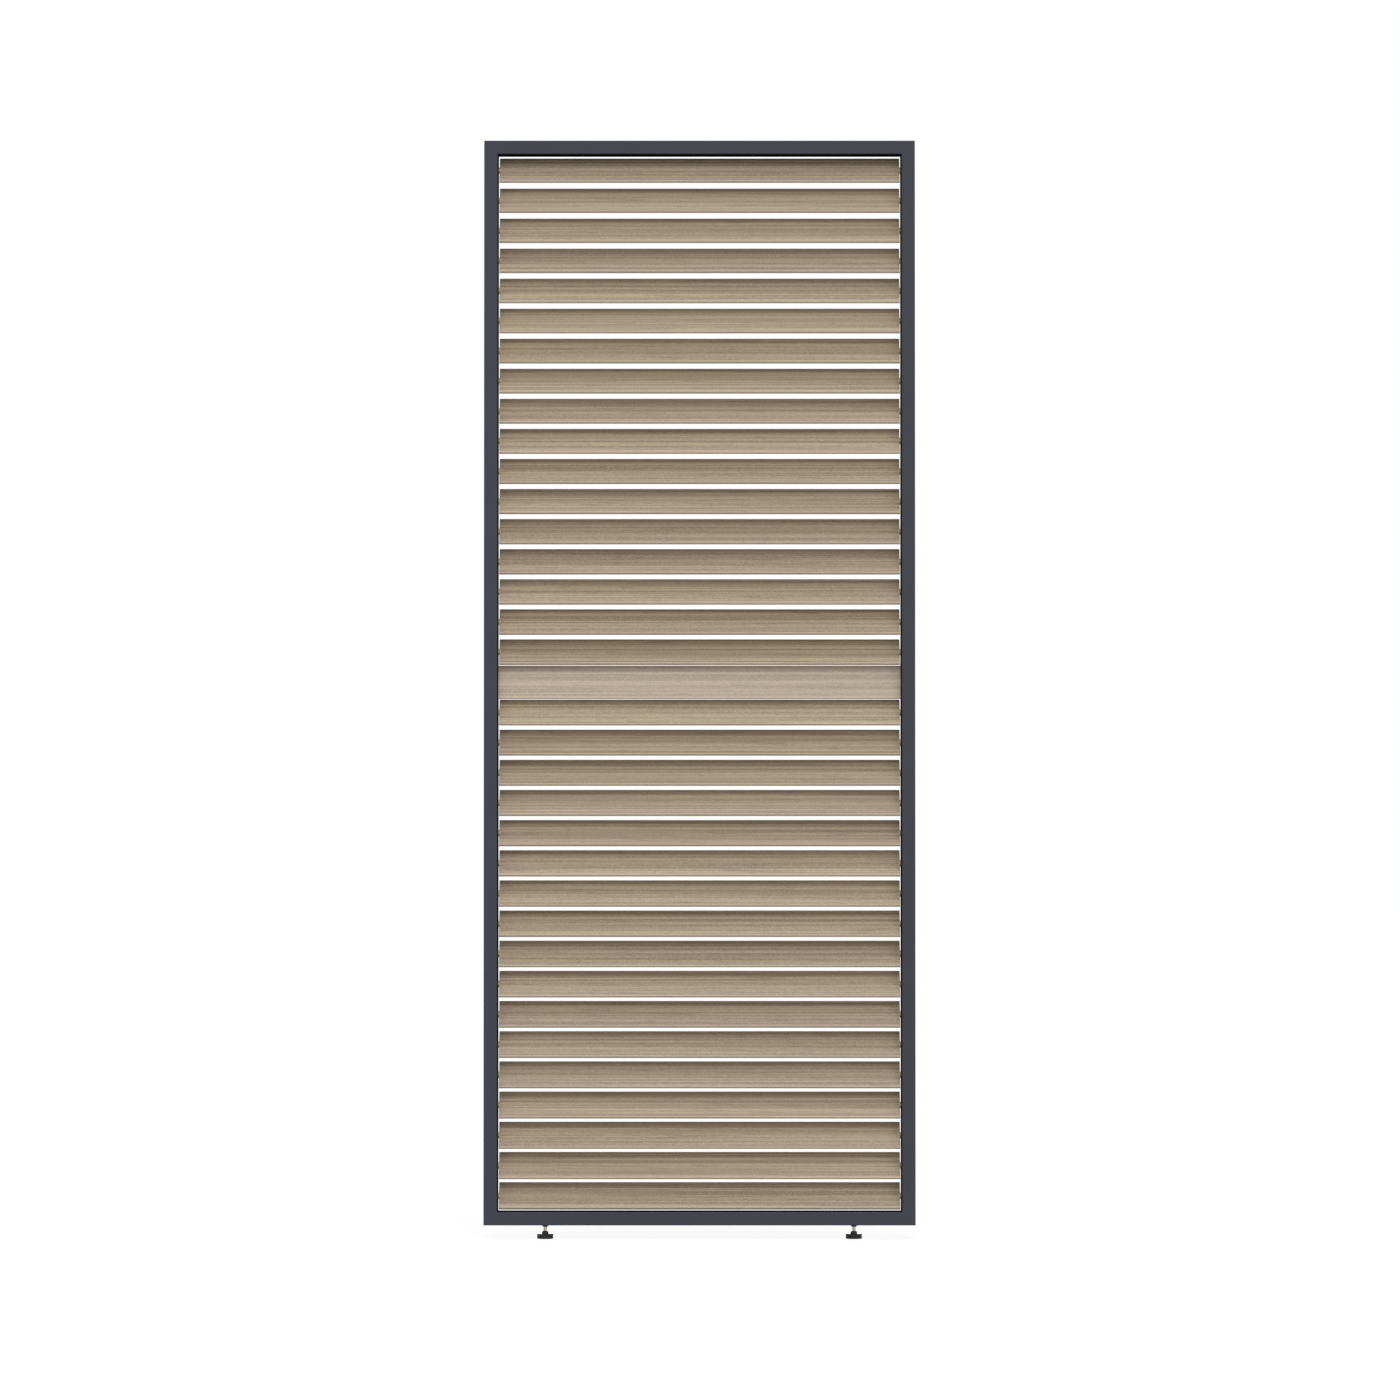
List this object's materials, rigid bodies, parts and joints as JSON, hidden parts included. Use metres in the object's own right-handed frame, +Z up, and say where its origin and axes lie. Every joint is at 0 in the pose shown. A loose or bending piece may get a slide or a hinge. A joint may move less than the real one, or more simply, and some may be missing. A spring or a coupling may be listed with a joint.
{
  "type": "louvred pergola panel",
  "caption": "Tall slim screen panel: a dark metal frame with wood-look horizontal slats that tilt together in an upper and a lower group, standing on levelling feet.",
  "frame": {"origin": "on the floor under the middle of the panel, half-way between the two feet", "axes": "+Z up along the stiles, +X along the slats towards the tilt-bar side, +Y from the front to the back"},
  "size_m": [0.928, 0.06, 2.364],
  "materials": {
    "frame_coating": "fine matt anthracite powder coat",
    "slat_finish": "satin wood-look decor coat with fine horizontal grain",
    "channel_plastic": "matt black extruded plastic",
    "plug_plastic": "matt tan moulded plastic",
    "bare_aluminium": "mill finish aluminium",
    "nut_block_steel": "zinc-plated steel",
    "lock_nut_black": "black-coated steel",
    "stud_zinc": "bright zinc-plated thread",
    "foot_plastic": "semi-gloss black moulded plastic"
  },
  "bodies": {
    "frame": {"bottom_infill_strip": "channel_plastic", "bottom_rail": "frame_coating", "corner_key_bottom_left": "bare_aluminium", "corner_key_bottom_right": "bare_aluminium", "corner_key_top_left": "bare_aluminium", "corner_key_top_right": "bare_aluminium", "fixed_mid_slat": "slat_finish", "foot_lock_nuts": "lock_nut_black", "foot_nut_blocks": "nut_block_steel", "left_bearing_comb": "channel_plastic", "left_bearing_keeper": "channel_plastic", "left_stile": "frame_coating", "mid_slat_end_plugs": "plug_plastic", "right_bearing_comb": "channel_plastic", "right_bearing_keeper": "channel_plastic", "right_stile": "frame_coating", "top_infill_strip": "channel_plastic", "top_rail": "frame_coating"},
    "upper_slat_01": {"upper_slat_01": "slat_finish"},
    "upper_slat_02": {"upper_slat_02": "slat_finish"},
    "upper_slat_03": {"upper_slat_03": "slat_finish"},
    "upper_slat_04": {"upper_slat_04": "slat_finish"},
    "upper_slat_05": {"upper_slat_05": "slat_finish"},
    "upper_slat_06": {"upper_slat_06": "slat_finish"},
    "upper_slat_07": {"upper_slat_07": "slat_finish"},
    "upper_slat_08": {"upper_slat_08": "slat_finish"},
    "upper_slat_09": {"upper_slat_09": "slat_finish"},
    "upper_slat_10": {"upper_slat_10": "slat_finish"},
    "upper_slat_11": {"upper_slat_11": "slat_finish"},
    "upper_slat_12": {"upper_slat_12": "slat_finish"},
    "upper_slat_13": {"upper_slat_13": "slat_finish"},
    "upper_slat_14": {"upper_slat_14": "slat_finish"},
    "upper_slat_15": {"upper_slat_15": "slat_finish"},
    "upper_slat_16": {"upper_slat_16": "slat_finish"},
    "upper_slat_17": {"upper_slat_17": "slat_finish"},
    "upper_tilt_bar": {"upper_tilt_bar": "bare_aluminium"},
    "lower_slat_01": {"lower_slat_01": "slat_finish"},
    "lower_slat_02": {"lower_slat_02": "slat_finish"},
    "lower_slat_03": {"lower_slat_03": "slat_finish"},
    "lower_slat_04": {"lower_slat_04": "slat_finish"},
    "lower_slat_05": {"lower_slat_05": "slat_finish"},
    "lower_slat_06": {"lower_slat_06": "slat_finish"},
    "lower_slat_07": {"lower_slat_07": "slat_finish"},
    "lower_slat_08": {"lower_slat_08": "slat_finish"},
    "lower_slat_09": {"lower_slat_09": "slat_finish"},
    "lower_slat_10": {"lower_slat_10": "slat_finish"},
    "lower_slat_11": {"lower_slat_11": "slat_finish"},
    "lower_slat_12": {"lower_slat_12": "slat_finish"},
    "lower_slat_13": {"lower_slat_13": "slat_finish"},
    "lower_slat_14": {"lower_slat_14": "slat_finish"},
    "lower_slat_15": {"lower_slat_15": "slat_finish"},
    "lower_slat_16": {"lower_slat_16": "slat_finish"},
    "lower_slat_17": {"lower_slat_17": "slat_finish"},
    "lower_tilt_bar": {"lower_tilt_bar": "bare_aluminium"},
    "left_foot": {"left_foot_stud": "stud_zinc", "left_foot_pad": "foot_plastic"},
    "right_foot": {"right_foot_stud": "stud_zinc", "right_foot_pad": "foot_plastic"}
  },
  "joints": [
    {"name": "upper_slat_01_tilt", "type": "hinge", "parent": "frame", "child": "upper_slat_01", "pos_m": [0, 0, 2.302], "axis": [-1, 0, 0], "range_deg": [-32, 50.5]},
    {"name": "upper_slat_02_tilt", "type": "hinge", "parent": "frame", "child": "upper_slat_02", "pos_m": [0, 0, 2.237], "axis": [-1, 0, 0], "range_deg": [-32, 50.5]},
    {"name": "upper_slat_03_tilt", "type": "hinge", "parent": "frame", "child": "upper_slat_03", "pos_m": [0, 0, 2.172], "axis": [-1, 0, 0], "range_deg": [-32, 50.5]},
    {"name": "upper_slat_04_tilt", "type": "hinge", "parent": "frame", "child": "upper_slat_04", "pos_m": [0, 0, 2.107], "axis": [-1, 0, 0], "range_deg": [-32, 50.5]},
    {"name": "upper_slat_05_tilt", "type": "hinge", "parent": "frame", "child": "upper_slat_05", "pos_m": [0, 0, 2.042], "axis": [-1, 0, 0], "range_deg": [-32, 50.5]},
    {"name": "upper_slat_06_tilt", "type": "hinge", "parent": "frame", "child": "upper_slat_06", "pos_m": [0, 0, 1.977], "axis": [-1, 0, 0], "range_deg": [-32, 50.5]},
    {"name": "upper_slat_07_tilt", "type": "hinge", "parent": "frame", "child": "upper_slat_07", "pos_m": [0, 0, 1.912], "axis": [-1, 0, 0], "range_deg": [-32, 50.5]},
    {"name": "upper_slat_08_tilt", "type": "hinge", "parent": "frame", "child": "upper_slat_08", "pos_m": [0, 0, 1.847], "axis": [-1, 0, 0], "range_deg": [-32, 50.5]},
    {"name": "upper_tilt", "type": "hinge", "parent": "frame", "child": "upper_slat_09", "pos_m": [0, 0, 1.782], "axis": [-1, 0, 0], "range_deg": [-32, 50.5]},
    {"name": "upper_slat_10_tilt", "type": "hinge", "parent": "frame", "child": "upper_slat_10", "pos_m": [0, 0, 1.717], "axis": [-1, 0, 0], "range_deg": [-32, 50.5]},
    {"name": "upper_slat_11_tilt", "type": "hinge", "parent": "frame", "child": "upper_slat_11", "pos_m": [0, 0, 1.652], "axis": [-1, 0, 0], "range_deg": [-32, 50.5]},
    {"name": "upper_slat_12_tilt", "type": "hinge", "parent": "frame", "child": "upper_slat_12", "pos_m": [0, 0, 1.587], "axis": [-1, 0, 0], "range_deg": [-32, 50.5]},
    {"name": "upper_slat_13_tilt", "type": "hinge", "parent": "frame", "child": "upper_slat_13", "pos_m": [0, 0, 1.522], "axis": [-1, 0, 0], "range_deg": [-32, 50.5]},
    {"name": "upper_slat_14_tilt", "type": "hinge", "parent": "frame", "child": "upper_slat_14", "pos_m": [0, 0, 1.457], "axis": [-1, 0, 0], "range_deg": [-32, 50.5]},
    {"name": "upper_slat_15_tilt", "type": "hinge", "parent": "frame", "child": "upper_slat_15", "pos_m": [0, 0, 1.392], "axis": [-1, 0, 0], "range_deg": [-32, 50.5]},
    {"name": "upper_slat_16_tilt", "type": "hinge", "parent": "frame", "child": "upper_slat_16", "pos_m": [0, 0, 1.327], "axis": [-1, 0, 0], "range_deg": [-32, 50.5]},
    {"name": "upper_slat_17_tilt", "type": "hinge", "parent": "frame", "child": "upper_slat_17", "pos_m": [0, 0, 1.262], "axis": [-1, 0, 0], "range_deg": [-32, 50.5]},
    {"name": "upper_tilt_bar_slide", "type": "slide", "parent": "frame", "child": "upper_tilt_bar", "axis": [0, 0, 1], "range_m": [-0.0117, 0.0075]},
    {"name": "lower_slat_01_tilt", "type": "hinge", "parent": "frame", "child": "lower_slat_01", "pos_m": [0, 0, 1.132], "axis": [-1, 0, 0], "range_deg": [-32, 50.5]},
    {"name": "lower_slat_02_tilt", "type": "hinge", "parent": "frame", "child": "lower_slat_02", "pos_m": [0, 0, 1.067], "axis": [-1, 0, 0], "range_deg": [-32, 50.5]},
    {"name": "lower_slat_03_tilt", "type": "hinge", "parent": "frame", "child": "lower_slat_03", "pos_m": [0, 0, 1.002], "axis": [-1, 0, 0], "range_deg": [-32, 50.5]},
    {"name": "lower_slat_04_tilt", "type": "hinge", "parent": "frame", "child": "lower_slat_04", "pos_m": [0, 0, 0.937], "axis": [-1, 0, 0], "range_deg": [-32, 50.5]},
    {"name": "lower_slat_05_tilt", "type": "hinge", "parent": "frame", "child": "lower_slat_05", "pos_m": [0, 0, 0.872], "axis": [-1, 0, 0], "range_deg": [-32, 50.5]},
    {"name": "lower_slat_06_tilt", "type": "hinge", "parent": "frame", "child": "lower_slat_06", "pos_m": [0, 0, 0.807], "axis": [-1, 0, 0], "range_deg": [-32, 50.5]},
    {"name": "lower_slat_07_tilt", "type": "hinge", "parent": "frame", "child": "lower_slat_07", "pos_m": [0, 0, 0.742], "axis": [-1, 0, 0], "range_deg": [-32, 50.5]},
    {"name": "lower_slat_08_tilt", "type": "hinge", "parent": "frame", "child": "lower_slat_08", "pos_m": [0, 0, 0.677], "axis": [-1, 0, 0], "range_deg": [-32, 50.5]},
    {"name": "lower_tilt", "type": "hinge", "parent": "frame", "child": "lower_slat_09", "pos_m": [0, 0, 0.612], "axis": [-1, 0, 0], "range_deg": [-32, 50.5]},
    {"name": "lower_slat_10_tilt", "type": "hinge", "parent": "frame", "child": "lower_slat_10", "pos_m": [0, 0, 0.547], "axis": [-1, 0, 0], "range_deg": [-32, 50.5]},
    {"name": "lower_slat_11_tilt", "type": "hinge", "parent": "frame", "child": "lower_slat_11", "pos_m": [0, 0, 0.482], "axis": [-1, 0, 0], "range_deg": [-32, 50.5]},
    {"name": "lower_slat_12_tilt", "type": "hinge", "parent": "frame", "child": "lower_slat_12", "pos_m": [0, 0, 0.417], "axis": [-1, 0, 0], "range_deg": [-32, 50.5]},
    {"name": "lower_slat_13_tilt", "type": "hinge", "parent": "frame", "child": "lower_slat_13", "pos_m": [0, 0, 0.352], "axis": [-1, 0, 0], "range_deg": [-32, 50.5]},
    {"name": "lower_slat_14_tilt", "type": "hinge", "parent": "frame", "child": "lower_slat_14", "pos_m": [0, 0, 0.287], "axis": [-1, 0, 0], "range_deg": [-32, 50.5]},
    {"name": "lower_slat_15_tilt", "type": "hinge", "parent": "frame", "child": "lower_slat_15", "pos_m": [0, 0, 0.222], "axis": [-1, 0, 0], "range_deg": [-32, 50.5]},
    {"name": "lower_slat_16_tilt", "type": "hinge", "parent": "frame", "child": "lower_slat_16", "pos_m": [0, 0, 0.157], "axis": [-1, 0, 0], "range_deg": [-32, 50.5]},
    {"name": "lower_slat_17_tilt", "type": "hinge", "parent": "frame", "child": "lower_slat_17", "pos_m": [0, 0, 0.092], "axis": [-1, 0, 0], "range_deg": [-32, 50.5]},
    {"name": "lower_tilt_bar_slide", "type": "slide", "parent": "frame", "child": "lower_tilt_bar", "axis": [0, 0, 1], "range_m": [-0.0117, 0.0075]},
    {"name": "left_foot_height", "type": "slide", "parent": "frame", "child": "left_foot", "axis": [0, 0, 1], "range_m": [-0.004, 0.0045]},
    {"name": "right_foot_height", "type": "slide", "parent": "frame", "child": "right_foot", "axis": [0, 0, 1], "range_m": [-0.004, 0.0045]}
  ],
  "couplings": [
    {"joint": "upper_slat_01_tilt", "follows": "upper_tilt", "ratio": 1},
    {"joint": "upper_slat_02_tilt", "follows": "upper_tilt", "ratio": 1},
    {"joint": "upper_slat_03_tilt", "follows": "upper_tilt", "ratio": 1},
    {"joint": "upper_slat_04_tilt", "follows": "upper_tilt", "ratio": 1},
    {"joint": "upper_slat_05_tilt", "follows": "upper_tilt", "ratio": 1},
    {"joint": "upper_slat_06_tilt", "follows": "upper_tilt", "ratio": 1},
    {"joint": "upper_slat_07_tilt", "follows": "upper_tilt", "ratio": 1},
    {"joint": "upper_slat_08_tilt", "follows": "upper_tilt", "ratio": 1},
    {"joint": "upper_slat_10_tilt", "follows": "upper_tilt", "ratio": 1},
    {"joint": "upper_slat_11_tilt", "follows": "upper_tilt", "ratio": 1},
    {"joint": "upper_slat_12_tilt", "follows": "upper_tilt", "ratio": 1},
    {"joint": "upper_slat_13_tilt", "follows": "upper_tilt", "ratio": 1},
    {"joint": "upper_slat_14_tilt", "follows": "upper_tilt", "ratio": 1},
    {"joint": "upper_slat_15_tilt", "follows": "upper_tilt", "ratio": 1},
    {"joint": "upper_slat_16_tilt", "follows": "upper_tilt", "ratio": 1},
    {"joint": "upper_slat_17_tilt", "follows": "upper_tilt", "ratio": 1},
    {"joint": "upper_tilt_bar_slide", "follows": "upper_tilt", "m_per_rad": -0.01316},
    {"joint": "lower_slat_01_tilt", "follows": "lower_tilt", "ratio": 1},
    {"joint": "lower_slat_02_tilt", "follows": "lower_tilt", "ratio": 1},
    {"joint": "lower_slat_03_tilt", "follows": "lower_tilt", "ratio": 1},
    {"joint": "lower_slat_04_tilt", "follows": "lower_tilt", "ratio": 1},
    {"joint": "lower_slat_05_tilt", "follows": "lower_tilt", "ratio": 1},
    {"joint": "lower_slat_06_tilt", "follows": "lower_tilt", "ratio": 1},
    {"joint": "lower_slat_07_tilt", "follows": "lower_tilt", "ratio": 1},
    {"joint": "lower_slat_08_tilt", "follows": "lower_tilt", "ratio": 1},
    {"joint": "lower_slat_10_tilt", "follows": "lower_tilt", "ratio": 1},
    {"joint": "lower_slat_11_tilt", "follows": "lower_tilt", "ratio": 1},
    {"joint": "lower_slat_12_tilt", "follows": "lower_tilt", "ratio": 1},
    {"joint": "lower_slat_13_tilt", "follows": "lower_tilt", "ratio": 1},
    {"joint": "lower_slat_14_tilt", "follows": "lower_tilt", "ratio": 1},
    {"joint": "lower_slat_15_tilt", "follows": "lower_tilt", "ratio": 1},
    {"joint": "lower_slat_16_tilt", "follows": "lower_tilt", "ratio": 1},
    {"joint": "lower_slat_17_tilt", "follows": "lower_tilt", "ratio": 1},
    {"joint": "lower_tilt_bar_slide", "follows": "lower_tilt", "m_per_rad": -0.01316}
  ]
}
